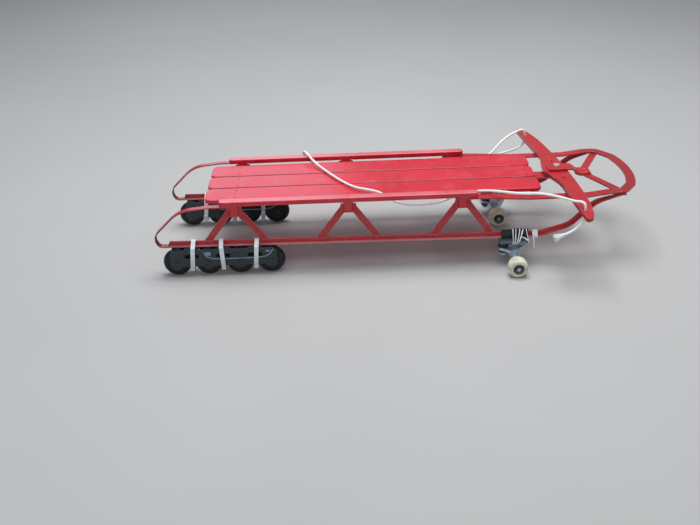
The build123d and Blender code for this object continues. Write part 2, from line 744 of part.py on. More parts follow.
knot_r = 8.0
knot_squeeze = 2.5
knot_top_z = bar_top_z - bar_sheet
knot_low_z = knot_top_z + knot_squeeze - 2 * knot_r + 1
exit_z = bar_top_z + 1.0
right_exit = bar_point(rope_hole_w, -rope_hole_u, exit_z)
left_exit = bar_point(rope_hole_w, rope_hole_u, exit_z)
rope_route = [
    right_exit,
    (right_exit[0], right_exit[1], 206.2),
    (427.2, -243.6, 208.4),
    (416, -231.5, 203.5),
    (403, -214.5, 201.5),
    (386, -197, 200.5),
    (366, -180.5, 200),
    (340, -167.5, 199.3),
    (302, -165.5, 198.5),
    (262, -150, 198),
    (228, -132, 195.5),
    (199, -121.2, 190.5),
    (170, -119.6, 187),
    (145, -119.4, 185),
    (124, -123, 173.5),
    (98, -130, 166.5),
    (62, -133.5, 163.5),
    (26, -132, 164),
    (-6, -126, 170),
    (-32, -120, 185),
    (-50, -116, 196),
    (-74, -105, 198.5),
    (-106, -84, 195.5),
    (-138, -42, 194.5),
    (-166, 6, 194.5),
    (-192, 54, 194.5),
    (-216, 98, 198),
    (-232, 128, 208),
    (-243, 154, 208),
    (-246, 173, 190),
    (-228, 175, 166),
    (-178, 172, 152),
    (-112, 171, 142),
    (-32, 171, 138),
    (52, 171, 140),
    (136, 171, 146),
    (206, 171, 156),
    (250, 171.5, 160),
    (279, 174, 168),
    (297, 186, 182),
    (313, 202, 192),
    (331, 220, 198),
    (351, 237, 202),
    (364, 245, 204.5),
    (377.6, 252.2, 208.4),
    (left_exit[0], left_exit[1], 206.2),
    left_exit,
]


def cord(points, radius, name):
    radii = corner_radii(points, 0.45)
    print(name, "smallest bend radius", round(min(radii), 1))
    path = FilletPolyline(*points, radius=radii)
    start = Plane(origin=path @ 0, z_dir=path % 0)
    tube = sweep(start * Circle(radius), path=path)
    print(name, "length", round(path.length, 1), "from its volume", round(tube.volume / (pi * radius ** 2), 1))
    return tube


save(cord(rope_route, rope_r, "rope"), "rope")


def knot(centre):
    # the ball is squeezed flat against the underside of the bar's sheet
    stem = Pos(centre[0], centre[1], (centre[2] + knot_top_z) / 2 - 2) * Cylinder(rope_r, centre[2] - knot_top_z + 4)
    ball = Pos(centre[0], centre[1], knot_top_z + knot_squeeze - knot_r) * Sphere(knot_r)
    room = Pos(centre[0], centre[1], (knot_top_z + knot_low_z) / 2) * Box(30, 30, knot_top_z - knot_low_z)
    return stem + (ball & room)


save(knot(right_exit), "rope_knot_right")
save(knot(left_exit), "rope_knot_left")
right_tail_steps = [
    (0, 0, 0), (0, 0, -8.5), (-4, -0.7, -17.5), (-11.5, -2, -27), (-21, -3, -35.5), (-33, -4, -42.5),
    (-48, -5.5, -48), (-68, -8, -53),
]
left_tail_steps = [
    (0, 0, 0), (0, 0, -8), (-4, -1, -15.5), (-13.5, -3, -22), (-28, -6, -27), (-47, -9, -31.5), (-72, -13, -36),
]


def tail(hole, steps):
    return [(hole[0] + dx, hole[1] + dy, knot_low_z + dz) for dx, dy, dz in steps]


right_tail = tail(right_exit, right_tail_steps)
left_tail = tail(left_exit, left_tail_steps)
save(cord(right_tail, rope_r, "right tail"), "rope_tail_right")
save(cord(left_tail, rope_r, "left tail"), "rope_tail_left")
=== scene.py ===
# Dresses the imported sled: camera, studio, finishes, small fastenings and cords.
# Everything is in metres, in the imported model's frame: X runs to the front, Y to the left and Z up.

import json
import random
from math import cos, pi, radians, sin

import bmesh
import bpy
from mathutils import Matrix, Vector


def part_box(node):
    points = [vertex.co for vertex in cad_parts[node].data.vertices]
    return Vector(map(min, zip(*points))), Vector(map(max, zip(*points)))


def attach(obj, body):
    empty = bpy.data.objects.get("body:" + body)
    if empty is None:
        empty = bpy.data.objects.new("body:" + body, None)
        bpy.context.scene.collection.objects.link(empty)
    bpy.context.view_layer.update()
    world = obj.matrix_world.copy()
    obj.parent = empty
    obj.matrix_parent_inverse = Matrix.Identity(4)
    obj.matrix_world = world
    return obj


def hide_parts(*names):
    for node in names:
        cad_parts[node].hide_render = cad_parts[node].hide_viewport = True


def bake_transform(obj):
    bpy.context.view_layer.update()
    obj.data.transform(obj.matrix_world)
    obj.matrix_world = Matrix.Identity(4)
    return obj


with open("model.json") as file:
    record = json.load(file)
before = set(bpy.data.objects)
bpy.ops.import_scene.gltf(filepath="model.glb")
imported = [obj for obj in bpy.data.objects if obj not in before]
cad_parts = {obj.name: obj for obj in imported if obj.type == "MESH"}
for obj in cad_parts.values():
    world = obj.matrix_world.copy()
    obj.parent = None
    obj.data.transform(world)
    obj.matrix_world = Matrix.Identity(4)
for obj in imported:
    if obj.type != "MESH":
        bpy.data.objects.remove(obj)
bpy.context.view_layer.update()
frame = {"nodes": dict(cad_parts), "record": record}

MM = 0.001
UP = (0, 0, 1)
SIDES = {"left": 1, "right": -1}
STATIONS = ("rear", "middle", "front")
SLATS = ("left", "middle", "right")


# Camera, with its angles in radians
CAMERA_PLACE = Vector((-0.1447, -2.1124, 1.0986))
CAMERA_YAW = 0.008
CAMERA_PITCH = 0.504
CAMERA_ROLL = 0.036
SENSOR_WIDTH = 36.0
FOCAL_LENGTH = 44.74
NEAR_CLIP = 0.05


def add_camera():
    forward = Vector((
        sin(CAMERA_YAW) * cos(CAMERA_PITCH),
        cos(CAMERA_YAW) * cos(CAMERA_PITCH),
        -sin(CAMERA_PITCH),
    ))
    level = Vector((cos(CAMERA_YAW), -sin(CAMERA_YAW), 0))
    down = forward.cross(level)
    across = cos(CAMERA_ROLL) * level + sin(CAMERA_ROLL) * down
    up = sin(CAMERA_ROLL) * level - cos(CAMERA_ROLL) * down
    data = bpy.data.cameras.new("photo_camera")
    data.lens = FOCAL_LENGTH
    data.sensor_width = SENSOR_WIDTH
    data.sensor_fit = "HORIZONTAL"
    data.clip_start = NEAR_CLIP
    camera = bpy.data.objects.new("photo_camera", data)
    turn = Matrix((across, up, -forward)).transposed()
    camera.matrix_world = Matrix.Translation(CAMERA_PLACE) @ turn.to_4x4()
    bpy.context.scene.collection.objects.link(camera)
    bpy.context.scene.camera = camera


# A finish is one material, built up from a base colour by tones laid over it
BEVEL_SAMPLES = 4
EDGE_ROUND = 0.6 * MM


class Finish:
    def __init__(self, name, tone):
        self.material = bpy.data.materials.new(name)
        self.material.use_nodes = True
        self.nodes = self.material.node_tree.nodes
        self.links = self.material.node_tree.links
        self.shader = self.nodes["Principled BSDF"]
        self.base = tone

    def feed(self, socket, value):
        # a link from another node, or a plain value
        if isinstance(value, bpy.types.NodeSocket):
            self.links.new(value, socket)
        elif socket.type == "RGBA":
            socket.default_value = (*value, 1)
        else:
            socket.default_value = value

    def noise(self, scale, detail, stretch=(1, 1, 1), roughness=0.55):
        mapping = self.nodes.new("ShaderNodeMapping")
        texture = self.nodes.new("ShaderNodeTexNoise")
        self.feed(mapping.inputs["Vector"], self.place())
        self.feed(mapping.inputs["Scale"], stretch)
        self.feed(texture.inputs["Vector"], mapping.outputs["Vector"])
        self.feed(texture.inputs["Scale"], scale)
        self.feed(texture.inputs["Detail"], detail)
        self.feed(texture.inputs["Roughness"], roughness)
        return texture.outputs["Fac"]

    def grey(self, value, results, band=(0.0, 1.0)):
        # the band's start gives the first result and its end the second
        node = self.nodes.new("ShaderNodeMapRange")
        self.feed(node.inputs["Value"], value)
        self.feed(node.inputs["From Min"], band[0])
        self.feed(node.inputs["From Max"], band[1])
        self.feed(node.inputs["To Min"], results[0])
        self.feed(node.inputs["To Max"], results[1])
        return node.outputs["Result"]

    def patches(self, scale, detail, results, band):
        return self.grey(self.noise(scale, detail), results, band)

    def cover(self, share, tone):
        # lays a tone over the base colour, by a share from 0 to 1
        node = self.nodes.new("ShaderNodeMix")
        node.data_type = "RGBA"
        rows = (("Factor", "VALUE", share), ("A", "RGBA", self.base), ("B", "RGBA", tone))
        for name, kind, value in rows:
            socket = [s for s in node.inputs if s.name == name and s.type == kind][0]
            self.feed(socket, value)
        self.base = [s for s in node.outputs if s.type == "RGBA"][0]

    def math(self, operation, *values, clamp=False):
        node = self.nodes.new("ShaderNodeMath")
        node.operation = operation
        node.use_clamp = clamp
        for socket, value in zip(node.inputs, values):
            self.feed(socket, value)
        return node.outputs["Value"]

    def times(self, first, second):
        return self.math("MULTIPLY", first, second, clamp=True)

    def plus(self, first, second):
        return self.math("ADD", first, second, clamp=True)

    def dot(self, first, second):
        node = self.nodes.new("ShaderNodeVectorMath")
        node.operation = "DOT_PRODUCT"
        self.feed(node.inputs[0], first)
        self.feed(node.inputs[1], second)
        return node.outputs["Value"]

    def axis(self, vector, name):
        split = self.nodes.new("ShaderNodeSeparateXYZ")
        self.feed(split.inputs["Vector"], vector)
        return split.outputs[name]

    def place(self):
        return self.nodes.new("ShaderNodeTexCoord").outputs["Object"]

    def normal(self):
        return self.nodes.new("ShaderNodeNewGeometry").outputs["Normal"]

    def soft_normal(self, radius):
        soft = self.nodes.new("ShaderNodeBevel")
        soft.samples = BEVEL_SAMPLES
        self.feed(soft.inputs["Radius"], radius)
        return soft.outputs["Normal"]

    def along(self, axis, band):
        # 0 to 1 between two places along an axis of the object
        return self.grey(self.axis(self.place(), axis), (0.0, 1.0), band)

    def facing(self, axis, band):
        # 0 to 1 by how far a surface looks along an axis
        return self.grey(self.axis(self.normal(), axis), (0.0, 1.0), band)

    def edges(self, radius, band):
        # how far a softened normal leaves the plain one, which is most at an edge
        return self.grey(self.dot(self.soft_normal(radius), self.normal()), (1.0, 0.0), band)

    def bump(self, height, strength, distance, edge=EDGE_ROUND):
        # fine relief over softly rounded edges
        node = self.nodes.new("ShaderNodeBump")
        self.feed(node.inputs["Strength"], strength)
        self.feed(node.inputs["Distance"], distance)
        self.feed(node.inputs["Normal"], self.soft_normal(edge))
        self.feed(node.inputs["Height"], height)
        self.feed(self.shader.inputs["Normal"], node.outputs["Normal"])

    def close(self, rough, **gloss):
        # feeds the shader, whose further inputs are named with _ for a space
        self.feed(self.shader.inputs["Base Color"], self.base)
        self.feed(self.shader.inputs["Roughness"], rough)
        for name, value in gloss.items():
            self.shader.inputs[name.replace("_", " ")].default_value = value
        return self.material


# Paint
WOOD_RED = (0.70, 0.014, 0.036)
GRAIN_RED = (0.42, 0.012, 0.03)
STEEL_RED = (0.52, 0.010, 0.020)
BOW_RED = (0.20, 0.010, 0.014)
# pale worn paint, which on the wood's edges is also a painted highlight
PAINT_WORN_AND_HIGHLIGHT = (0.66, 0.28, 0.30)
PAINT_DUST = (0.56, 0.15, 0.18)
PAINT_PALE_TOP = (0.74, 0.30, 0.35)
# painted shade for the gaps between the slats
GAP_SHADE = (0.13, 0.006, 0.012)
BARE_WOOD = (0.36, 0.23, 0.15)
RUST = (0.13, 0.045, 0.022)
OLD_STEEL = (0.20, 0.15, 0.13)
DEEP_SHARE = 0.78
CLOUD_BAND = (0.3, 0.7)
GRAIN_STRETCH = (5, 170, 120)

# Where the wear, the painted shade in the slat gaps, the paler rail tops and the darker bow lie:
# bands of X or Z, or of the distance from a gap's middle
SLAT_GAP_Y = 37.8 * MM
GAP_BAND = (2.0 * MM, 4.2 * MM)
RAIL_TOP_BAND = (194 * MM, 197 * MM)
BOW_BAND = (490 * MM, 560 * MM)
LOW_STEEL_BAND = (130 * MM, 85 * MM)
REAR_LOOP_BAND = (-545 * MM, -612 * MM)
# the runners fall towards the front, and their flange ends this high where X is 0
RUNNER_FALL = 0.0109
FLANGE_BAND = (76.8 * MM, 77.4 * MM)
LOOKS_UP = (0.6, 0.95)
LOOKS_DOWN = (-0.5, -0.9)


def lay_paint(name, tone, dust):
    paint = Finish(name, tuple(c * DEEP_SHARE for c in tone))
    cloud = paint.noise(7.0, 4.0)
    paint.cover(paint.grey(cloud, (0.0, 1.0), CLOUD_BAND), tone)
    paint.cover(paint.patches(30.0, 6.0, (0.0, dust), (0.50, 0.78)), PAINT_DUST)
    return paint, cloud


def painted_wood():
    paint, cloud = lay_paint("painted_wood", WOOD_RED, dust=0.30)
    grain = paint.noise(1.0, 5.0, stretch=GRAIN_STRETCH, roughness=0.6)
    paint.cover(paint.grey(grain, (0.0, 0.35), (0.55, 0.75)), GRAIN_RED)
    # worn edges painted a paler pink, partly real wear and partly a painted highlight, with chips
    # down to the wood there and a few flecks all over
    edges = paint.edges(1.6 * MM, (0.80, 0.985))
    worn = paint.patches(45.0, 5.0, (0.0, 0.45), (0.44, 0.66))
    paint.cover(paint.times(edges, worn), PAINT_WORN_AND_HIGHLIGHT)
    chips = paint.patches(160.0, 3.0, (0.0, 1.0), (0.62, 0.68))
    paint.cover(paint.times(edges, chips), BARE_WOOD)
    flecks = paint.patches(210.0, 2.0, (0.0, 0.8), (0.735, 0.76))
    paint.cover(flecks, BARE_WOOD)
    # painted shade darkens the gaps between the slats
    from_middle = paint.math("ABSOLUTE", paint.axis(paint.place(), "Y"))
    from_gap = paint.math("ABSOLUTE", paint.math("SUBTRACT", from_middle, SLAT_GAP_Y))
    paint.cover(paint.grey(from_gap, (0.68, 0.0), GAP_BAND), GAP_SHADE)
    # the up-facing tops of the raised rails are painted a paler pink
    top = paint.times(paint.facing("Z", LOOKS_UP), paint.along("Z", RAIL_TOP_BAND))
    lightened = paint.times(top, paint.grey(cloud, (0.25, 0.62), CLOUD_BAND))
    paint.cover(lightened, PAINT_PALE_TOP)
    paint.bump(grain, strength=0.30, distance=0.7 * MM, edge=0.5 * MM)
    rough = paint.grey(cloud, (0.26, 0.40), CLOUD_BAND)
    return paint.close(rough, Coat_Weight=0.18, Coat_Roughness=0.18)


def painted_steel():
    paint, cloud = lay_paint("painted_steel", STEEL_RED, dust=0.18)
    # the front bow is painted darker than the rest
    paint.cover(paint.times(paint.along("X", BOW_BAND), 0.55), BOW_RED)
    # worn edges, most of all low down on the runners
    low = paint.along("Z", LOW_STEEL_BAND)
    edges = paint.edges(2.4 * MM, (0.80, 0.99))
    patchy = paint.patches(38.0, 5.0, (0.1, 0.7), (0.36, 0.64))
    worn = paint.plus(patchy, paint.times(low, 0.45))
    paint.cover(paint.times(edges, worn), PAINT_WORN_AND_HIGHLIGHT)
    # the edge of the runners' flange is worn pale
    height = paint.dot(paint.place(), (RUNNER_FALL, 0, 1))
    flange = paint.grey(height, (1.0, 0.0), FLANGE_BAND)
    paint.cover(paint.times(flange, paint.grey(patchy, (0.45, 0.85))), PAINT_WORN_AND_HIGHLIGHT)
    # the runners' soles are scraped
    sole = paint.times(paint.facing("Z", LOOKS_DOWN), low)
    scraped = paint.patches(25.0, 5.0, (0.3, 1.0), (0.35, 0.6))
    paint.cover(paint.times(sole, scraped), OLD_STEEL)
    # spots of rust, and the runners' rear loops, which have rusted most
    paint.cover(paint.patches(110.0, 6.0, (0.0, 0.75), (0.64, 0.72)), RUST)
    rusty = paint.patches(70.0, 6.0, (0.25, 1.0), (0.36, 0.56))
    rear = paint.times(paint.along("X", REAR_LOOP_BAND), rusty)
    paint.cover(rear, RUST)
    paint.bump(paint.noise(180.0, 4.0), strength=0.18, distance=0.5 * MM, edge=0.7 * MM)
    rough = paint.plus(paint.grey(cloud, (0.24, 0.40), CLOUD_BAND), paint.grey(rear, (0.0, 0.4)))
    return paint.close(rough, Coat_Weight=0.2, Coat_Roughness=0.15)


# Metal, moulded plastic and rubber, and rope
METAL_GRIME = (0.06, 0.06, 0.055)
# painted shade for the trucks' upper parts
TRUCK_SHADE = (0.03, 0.055, 0.065)
TRUCK_TOP_BAND = (48 * MM, 58 * MM)
LOW_STRAP_BAND = (66 * MM, 30 * MM)
ROPE_WHITE = (0.90, 0.90, 0.90)
ROPE_GRIME = (0.62, 0.61, 0.57)
FINE_RELIEF = 0.3 * MM


def plain_metal(name, tone, rough, dirt, high_shade=0.0):
    metal = Finish(name, tone)
    grime = metal.patches(90.0, 5.0, (0.0, dirt), (0.45, 0.7))
    metal.cover(grime, METAL_GRIME)
    if high_shade:
        # painted shade darkens the trucks' upper parts, which lie under the deck
        metal.cover(metal.times(metal.along("Z", TRUCK_TOP_BAND), high_shade), TRUCK_SHADE)
    metal.bump(metal.noise(400.0, 3.0), strength=0.2, distance=FINE_RELIEF)
    return metal.close(metal.grey(grime, (rough, rough + 0.3)), Metallic=0.75)


def moulded(name, tone, dusty, rough, dust, scale=70.0, lightened=None, low_shade=0.0, shine=0.5):
    body = Finish(name, tone)
    patches = body.patches(scale, 5.0, (0.0, dust), (0.42, 0.72))
    body.cover(patches, dusty)
    if lightened:
        # a painted highlight along the edges
        body.cover(body.times(body.edges(1.6 * MM, (0.72, 0.98)), 0.7), lightened)
    # painted shade darkens the lower part
    if low_shade:
        body.cover(body.times(body.along("Z", LOW_STRAP_BAND), low_shade), dusty)
    body.bump(body.noise(500.0, 3.0), strength=0.12, distance=FINE_RELIEF)
    return body.close(body.grey(patches, (rough, rough + 0.25)), Specular_IOR_Level=shine)


def rope_fabric():
    rope = Finish("rope_fabric", ROPE_WHITE)
    rope.cover(rope.patches(30.0, 5.0, (0.0, 0.4), (0.48, 0.78)), ROPE_GRIME)
    rope.bump(rope.noise(900.0, 3.0), strength=0.4, distance=FINE_RELIEF)
    return rope.close(0.75, Sheen_Weight=0.3)


MATERIALS = {
    "red_wood": painted_wood(),
    "red_steel": painted_steel(),
    "bright_steel": plain_metal("bright_steel", tone=(0.88, 0.90, 0.93), rough=0.30, dirt=0.25),
    # the frame's edges carry a painted highlight
    "black_frame": moulded(
        "black_frame", tone=(0.004, 0.014, 0.021), dusty=(0.015, 0.035, 0.045),
        rough=0.14, dust=0.35, lightened=(0.12, 0.18, 0.23), shine=0.6,
    ),
    "black_tyre": moulded(
        "black_tyre", tone=(0.005, 0.009, 0.011), dusty=(0.04, 0.044, 0.042),
        rough=0.34, dust=0.4, scale=40.0, shine=0.3,
    ),
    "grey_hub": moulded(
        "grey_hub", tone=(0.02, 0.028, 0.032), dusty=(0.07, 0.08, 0.08), rough=0.25, dust=0.4,
    ),
    # the straps are darker low down, a painted shade
    "white_strap": moulded(
        "white_strap", tone=(0.86, 0.92, 0.95), dusty=(0.40, 0.43, 0.43),
        rough=0.25, dust=0.12, low_shade=0.55,
    ),
    # the trucks' upper parts carry painted shade
    "truck_metal": plain_metal(
        "truck_metal", tone=(0.58, 0.72, 0.84), rough=0.36, dirt=0.4, high_shade=0.75,
    ),
    "cushion_rubber": moulded(
        "cushion_rubber", tone=(0.012, 0.026, 0.030), dusty=(0.05, 0.075, 0.078),
        rough=0.5, dust=0.4, shine=0.3,
    ),
    "cream_wheel": moulded(
        "cream_wheel", tone=(0.76, 0.79, 0.62), dusty=(0.36, 0.37, 0.27),
        rough=0.35, dust=0.7, scale=50.0,
    ),
    "white_rope": rope_fabric(),
}
GRIMY_STEEL = plain_metal("grimy_steel", tone=(0.19, 0.22, 0.18), rough=0.45, dirt=0.6)
# pale blue for the skates' ridges and caps, a painted highlight
FRAME_HIGHLIGHT = moulded(
    "painted_frame_highlight", tone=(0.25, 0.36, 0.46), dusty=(0.08, 0.12, 0.15),
    rough=0.2, dust=0.8, scale=60.0,
)
# the bar's rivets are painted over
PAINTED_OVER = {"bar_rivets": "red_steel"}


def dress_nodes():
    for row in frame["record"]["subparts"]:
        target = frame["nodes"][row["node"]]
        slot = PAINTED_OVER.get(row["node"], row["material_slot"])
        target.data.materials.clear()
        target.data.materials.append(MATERIALS[slot])


# Pieces and the forms they are made of
CORNERS = ((-1, -1), (1, -1), (1, 1), (-1, 1))
SHARP_ANGLE = radians(35)
# the most of a run that one corner's curve may take up
BEND_SHARE = 0.45


def add_piece(name, mesh, body, slot, material=None):
    piece = bpy.data.objects.new(name, mesh)
    bpy.context.scene.collection.objects.link(piece)
    if body:
        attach(piece, body)
    mesh.materials.append(material or MATERIALS[slot])
    return piece


def to_mesh(form, name, smooth=True):
    mesh = bpy.data.meshes.new(name)
    for face in form.faces:
        face.smooth = smooth
    form.to_mesh(mesh)
    form.free()
    return mesh


def form_piece(form, name, body, slot, smooth=True, material=None):
    bmesh.ops.recalc_face_normals(form, faces=form.faces)
    mesh = to_mesh(form, name, smooth)
    if smooth:
        mesh.set_sharp_from_angle(angle=SHARP_ANGLE)
    return add_piece(name, mesh, body, slot, material)


def ring(form, place, side, other, reaches):
    corners = []
    for k, reach in enumerate(reaches):
        angle = 2 * pi * k / len(reaches)
        corners.append(form.verts.new(place + (side * cos(angle) + other * sin(angle)) * reach))
    return corners


def skin(form, rings, capped=True):
    # faces from ring to ring, three-cornered where a ring is a single point
    for first, second in zip(rings, rings[1:]):
        for k in range(len(first)):
            j = (k + 1) % len(first)
            corners = dict.fromkeys((first[k], first[j], second[j], second[k]))
            if len(corners) > 2:
                form.faces.new(list(corners))
    if capped:
        form.faces.new(list(reversed(rings[0])))
        form.faces.new(rings[-1])


def lathe(form, centre, axis, profile, sides=16):
    # a profile of radius and reach along the axis, turned round it
    axis = Vector(axis).normalized()
    side = axis.orthogonal().normalized()
    other = axis.cross(side)
    rings = []
    for radius, reach in profile:
        place = Vector(centre) + axis * reach
        if radius == 0:
            rings.append([form.verts.new(place)] * sides)
        else:
            rings.append(ring(form, place, side, other, [radius] * sides))
    skin(form, rings, capped=False)


def tube(form, line, radii, sides=8, closed=False, relief=None):
    # a round form along a line, with relief on its skin by angle and point
    side = None
    rings = []
    count = len(line)
    for n, (place, radius) in enumerate(zip(line, radii)):
        after = line[(n + 1) % count] if closed else line[min(n + 1, count - 1)]
        before = line[n - 1] if closed else line[max(n - 1, 0)]
        ahead = (after - before).normalized()
        if side is None:
            side = ahead.orthogonal().normalized()
        side = (side - ahead * side.dot(ahead)).normalized()
        other = ahead.cross(side)
        reaches = [radius] * sides
        if relief:
            reaches = [radius + relief(2 * pi * k / sides, n) for k in range(sides)]
        rings.append(ring(form, place, side, other, reaches))
    if closed:
        # the last ring meets the first at the turn that lines them up best
        shift = min(range(sides), key=lambda t: (rings[-1][0].co - rings[0][t].co).length)
        rings.append(rings[0][shift:] + rings[0][:shift])
    skin(form, rings, capped=not closed)


def ribbon(form, line, width, thick):
    # a flat band whose width lies along X
    rings = []
    for n, place in enumerate(line):
        ahead = (line[min(n + 1, len(line) - 1)] - line[max(n - 1, 0)]).normalized()
        across = (Vector((1, 0, 0)) - ahead * ahead.x).normalized()
        out = ahead.cross(across)
        rings.append([
            form.verts.new(place + across * a * width / 2 + out * b * thick / 2) for a, b in CORNERS
        ])
    skin(form, rings)


def soften(points, reach, closed=False, steps=4):
    # corners replaced by short curves
    count = len(points)
    line = []
    for n, corner in enumerate(points):
        if not closed and n in (0, count - 1):
            line.append(corner)
            continue
        before = points[n - 1] - corner
        after = points[(n + 1) % count] - corner
        start = corner + before.normalized() * min(reach, BEND_SHARE * before.length)
        end = corner + after.normalized() * min(reach, BEND_SHARE * after.length)
        for k in range(steps + 1):
            t = k / steps
            line.append(start.lerp(corner, t).lerp(corner.lerp(end, t), t))
    return line


def middle(node):
    low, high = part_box(node)
    return (Vector(low) + Vector(high)) / 2


# Screws, rivets and bolt heads: profiles of radius and height in millimetres
RIVET = [(4.4, -0.3), (4.3, 0.3), (3.4, 1.1), (1.8, 1.6), (0, 1.8)]
SCREW = [(4.0, -0.2), (3.9, 0.35), (2.9, 0.8), (1.0, 0.85), (0.8, 0.3), (0, 0.3)]
SOCKET_HEAD = [(6.1, -0.2), (6.1, 0.9), (5.5, 1.7), (3.4, 1.9), (3.1, 0.4), (0, 0.4)]


def scaled(profile, size=1.0):
    return [(radius * size * MM, reach * size * MM) for radius, reach in profile]


SCREW_STEP = 21 * MM
CLEAT_SCREW_BACK = 2 * MM


def add_slat_screws(form, x):
    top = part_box("slat_middle")[1][2]
    for slat in SLATS:
        for step in (-SCREW_STEP, SCREW_STEP):
            lathe(form, (x, middle("slat_" + slat).y + step, top), UP, scaled(SCREW))


def add_deck_screws():
    form = bmesh.new()
    for name in STATIONS:
        x = middle("knee_" + name + "_left").x
        add_slat_screws(form, x)
        for side in SIDES:
            rail_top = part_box("rail_" + side)[1][2]
            lathe(form, (x, middle("rail_" + side).y, rail_top), UP, scaled(SCREW))
    add_slat_screws(form, middle("front_cleat").x - CLEAT_SCREW_BACK)
    form_piece(form, "deck_screws", "frame", "red_wood")


# Rivets of the knees, in from a foot's ends, up from its edge and out from the runner's middle
KNEE_RIVET = 0.72
FOOT_RIVET_STEPS = (9 * MM, 21 * MM)
FOOT_RIVET_UP = 7.5 * MM
WEB_OUTER_FACE = 1.5 * MM
FOOT_INNER_FACE = -5.5 * MM
CROWN_RIVET_STEP = 16 * MM
CROWN_RIVET_DOWN = 11 * MM
CROWN_OUTER_FACE = -1.5 * MM

# Rivets of the brace, the bow and the tongue
BUMPER_RIVET = 1.1
BRACE_RIVET_IN = 10 * MM
BOW_RIVET_X = 556 * MM
BOW_RIVET_IN = 2 * MM
TONGUE_RIVET_BACK = 9 * MM
TONGUE_RIVET_OUT = 10 * MM


def add_knee_rivets(form, name, side):
    sign = SIDES[side]
    runner_y = middle("runner_" + side).y
    low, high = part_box("knee_" + name + "_" + side)
    small = scaled(RIVET, KNEE_RIVET)
    foot_z = low[2] + FOOT_RIVET_UP
    for end, inward in ((low[0], 1), (high[0], -1)):
        for step in FOOT_RIVET_STEPS:
            x = end + inward * step
            lathe(form, (x, runner_y + sign * WEB_OUTER_FACE, foot_z), (0, sign, 0), small)
            lathe(form, (x, runner_y + sign * FOOT_INNER_FACE, foot_z), (0, -sign, 0), small)
    centre_x = (low[0] + high[0]) / 2
    crown_z = high[2] - CROWN_RIVET_DOWN
    for step in (-CROWN_RIVET_STEP, CROWN_RIVET_STEP):
        crown = (centre_x + step, runner_y + sign * CROWN_OUTER_FACE, crown_z)
        lathe(form, crown, (0, sign, 0), small)


def add_steel_rivets():
    form = bmesh.new()
    brace_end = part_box("front_brace")[1]
    tongue_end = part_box("tongue_upper")[1]
    bumper_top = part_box("bumper")[1][2]
    for side, sign in SIDES.items():
        for name in STATIONS:
            add_knee_rivets(form, name, side)
        runner_out = abs(middle("runner_" + side).y)
        for x, out in (
            (brace_end[0] - BRACE_RIVET_IN, brace_end[1] - BRACE_RIVET_IN),
            (BOW_RIVET_X, runner_out - BOW_RIVET_IN),
            (tongue_end[0] - TONGUE_RIVET_BACK, TONGUE_RIVET_OUT),
        ):
            lathe(form, (x, sign * out, bumper_top), UP, scaled(RIVET, BUMPER_RIVET))
    form_piece(form, "steel_rivets", "frame", "red_steel")


# Skates: a ridge moulded on each side wall with a cap at its ends, both coloured pale blue as a
# painted highlight, and the axle bolts' heads
SKATE_WALL_OUT = 16.5 * MM
RIDGE_RADIUS = 1.6 * MM
RIDGE_BEND = 6 * MM
RIDGE_SIDES = 10
RIDGE_STEPS = [
    (-500, 73), (-498, 63), (-490, 53.5), (-474, 48.6), (-440, 47.8), (-400, 47.8),
    (-362, 48.2), (-344, 50.5), (-333, 56), (-327, 64), (-323, 71),
]
# x, z and radius, and a profile of a share of the radius and a height
CAP_PLACES = [(-488, 64.5, 7.5), (-337, 68.0, 5.5)]
CAP = [(1.0, -0.1), (0.93, 0.8), (0.7, 1.4), (0, 1.6)]
CAP_SIDES = 20
AXLES = (1, 2, 3, 4)


def add_skate_ridges():
    form = bmesh.new()
    for side in SIDES:
        centre_y = middle("skate_frame_" + side).y
        for way in (-1, 1):
            wall_y = centre_y + way * SKATE_WALL_OUT
            corners = [Vector((x * MM, wall_y, z * MM)) for x, z in RIDGE_STEPS]
            line = soften(corners, RIDGE_BEND)
            tube(form, line, [RIDGE_RADIUS] * len(line), RIDGE_SIDES)
            for x, z, radius in CAP_PLACES:
                profile = [(share * radius * MM, height * MM) for share, height in CAP]
                lathe(form, (x * MM, wall_y, z * MM), (0, way, 0), profile, CAP_SIDES)
    form_piece(form, "skate_ridges", "frame", "black_frame", material=FRAME_HIGHLIGHT)


def add_skate_bolts():
    form = bmesh.new()
    for side in SIDES:
        low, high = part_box("skate_frame_" + side)
        for n in AXLES:
            axle = middle("inline_hub_" + side + "_" + str(n))
            lathe(form, (axle.x, high[1], axle.z), (0, 1, 0), scaled(SOCKET_HEAD))
            lathe(form, (axle.x, low[1], axle.z), (0, -1, 0), scaled(SOCKET_HEAD))
    form_piece(form, "skate_bolts", "frame", "grey_hub")


# Trucks: a thin dark ring round each wheel's recess, the bearings, the axle nuts and the baseplates'
# bolt holes
RECESS_RING = [(13.9, -0.1), (13.7, 0.25), (11.2, 0.25), (10.9, -0.4)]
RACE = [
    (10.6, -0.3), (10.6, 0.9), (9.3, 0.9), (9.3, 0.35),
    (6.4, 0.35), (6.4, 0.9), (4.7, 0.9), (4.7, -0.3),
]
AXLE_NUT = [(8.2, 0), (8.2, 4.7), (7.1, 5.5), (4.05, 5.5)]
PLATE_HOLE = [(3.6, -0.1), (3.5, 0.25), (2.7, 0.3), (2.6, -0.1)]
RECESS_RING_SIDES = 32
RACE_SIDES = 24
NUT_SIDES = 6
WHEEL_RECESS = 5 * MM
NUT_OUT = 0.7 * MM
PLATE_MIDDLE_BACK = 37 * MM
HOLE_STEP_X = 27 * MM
HOLE_STEP_Y = 20.5 * MM


